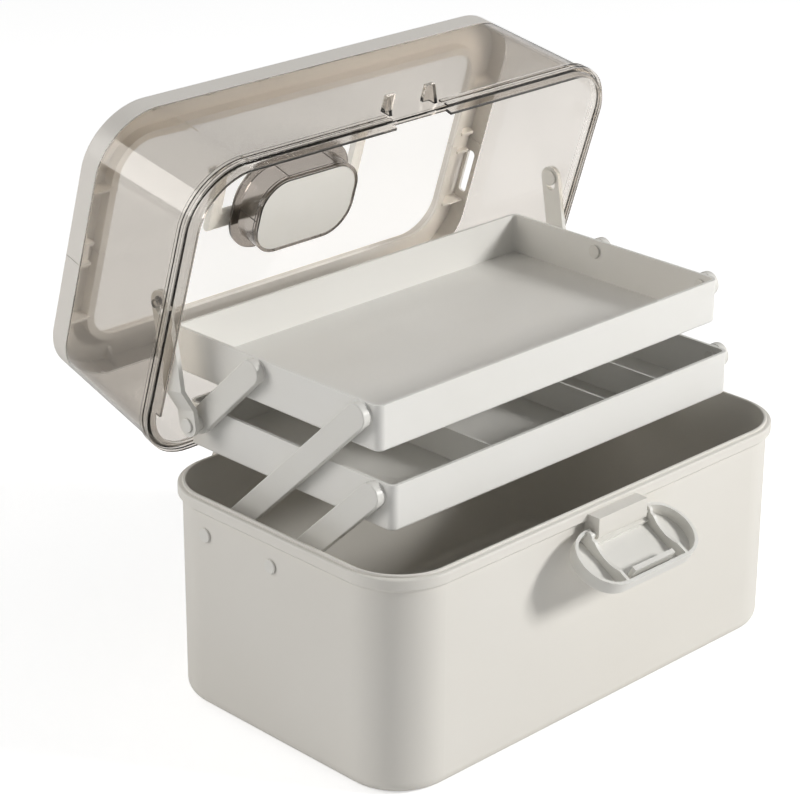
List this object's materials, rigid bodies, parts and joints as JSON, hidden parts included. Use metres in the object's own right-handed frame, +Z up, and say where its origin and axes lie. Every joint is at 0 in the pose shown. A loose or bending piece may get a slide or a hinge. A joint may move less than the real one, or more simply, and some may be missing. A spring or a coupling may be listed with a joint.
{
  "type": "medicine organizer box",
  "caption": "Deep box with a clear hinged lid, trays that rise on side arms as the lid opens, a front latch and a folding carry handle.",
  "frame": {"origin": "middle of the flat underside of the base box", "axes": "+X along the length, -Y towards the latch side, +Z up from the underside; the lid is stored open"},
  "size_m": [0.34, 0.3416, 0.3437],
  "materials": {
    "base_shell": "satin",
    "tray": "satin",
    "divider": "satin",
    "arm": "satin",
    "cap": "satin",
    "link": "satin",
    "clear_lid": "clear, slightly smoky",
    "clear_window": "clear",
    "lid_frame": "satin",
    "well_wall": "dark translucent",
    "well_cover": "satin",
    "handle": "satin",
    "latch": "satin",
    "steel_pin": "plain"
  },
  "bodies": {
    "base": {"base_box": "base_shell", "hinge_pins": "steel_pin", "latch_pin": "latch"},
    "lid": {"lid_shell": "clear_lid", "lid_stud_caps": "cap", "lid_frame_front": "lid_frame", "lid_frame_rear": "lid_frame", "frame_clips": "lid_frame", "window_panel": "clear_window", "finger_well": "well_wall", "well_cover": "well_cover", "handle_pins": "steel_pin"},
    "long_arms": {"long_arm_left": "arm", "long_arm_right": "arm", "long_arm_caps": "cap"},
    "lower_arms": {"lower_arm_left": "arm", "lower_arm_right": "arm", "lower_arm_caps": "cap"},
    "upper_arms": {"upper_arm_left": "arm", "upper_arm_right": "arm", "upper_arm_caps": "cap"},
    "mid_tray": {"mid_tray": "tray", "mid_tray_dividers": "divider"},
    "top_tray": {"top_tray": "tray"},
    "lid_links": {"lid_link_left": "link", "lid_link_right": "link"},
    "latch": {"latch": "latch"},
    "carry_handle": {"carry_handle": "handle"}
  },
  "joints": [
    {"name": "lid_hinge", "type": "hinge", "parent": "base", "child": "lid", "pos_m": [0, 0.1078, 0.1282], "axis": [1, 0, 0], "range_deg": [0, 72.6]},
    {"name": "long_arm_pivot", "type": "hinge", "parent": "base", "child": "long_arms", "pos_m": [0, 0.0566, 0.113], "axis": [1, 0, 0], "range_deg": [0, 17.06]},
    {"name": "lower_arm_pivot", "type": "hinge", "parent": "base", "child": "lower_arms", "pos_m": [0, 0.0013, 0.113], "axis": [1, 0, 0], "range_deg": [0, 17.06]},
    {"name": "mid_tray_pivot", "type": "hinge", "parent": "long_arms", "child": "mid_tray", "pos_m": [0, -0.00131, 0.16892], "axis": [1, 0, 0], "range_deg": [-17.06, 0]},
    {"name": "top_tray_pivot", "type": "hinge", "parent": "long_arms", "child": "top_tray", "pos_m": [0, -0.04605, 0.21213], "axis": [1, 0, 0], "range_deg": [-17.06, 0]},
    {"name": "upper_arm_pivot", "type": "hinge", "parent": "mid_tray", "child": "upper_arms", "pos_m": [0, 0.08369, 0.16892], "axis": [1, 0, 0], "range_deg": [0, 17.06]},
    {"name": "lid_link_pivot", "type": "hinge", "parent": "mid_tray", "child": "lid_links", "pos_m": [0, 0.08369, 0.16892], "axis": [1, 0, 0], "range_deg": [0, 98.28]},
    {"name": "latch_pivot", "type": "hinge", "parent": "base", "child": "latch", "pos_m": [0, -0.1076, 0.1215], "axis": [-1, 0, 0], "range_deg": [0, 120]},
    {"name": "handle_pivot", "type": "hinge", "parent": "lid", "child": "carry_handle", "pos_m": [0, 0.16422, 0.2819], "axis": [1, 0, 0], "range_deg": [0, 90]}
  ],
  "couplings": [
    {"joint": "long_arm_pivot", "follows": "lid_hinge", "ratio": 0.2347},
    {"joint": "lower_arm_pivot", "follows": "lid_hinge", "ratio": 0.2347},
    {"joint": "mid_tray_pivot", "follows": "lid_hinge", "ratio": -0.2347},
    {"joint": "top_tray_pivot", "follows": "lid_hinge", "ratio": -0.2347},
    {"joint": "upper_arm_pivot", "follows": "lid_hinge", "ratio": 0.2347},
    {"joint": "lid_link_pivot", "follows": "lid_hinge", "ratio": 1.3535}
  ]
}
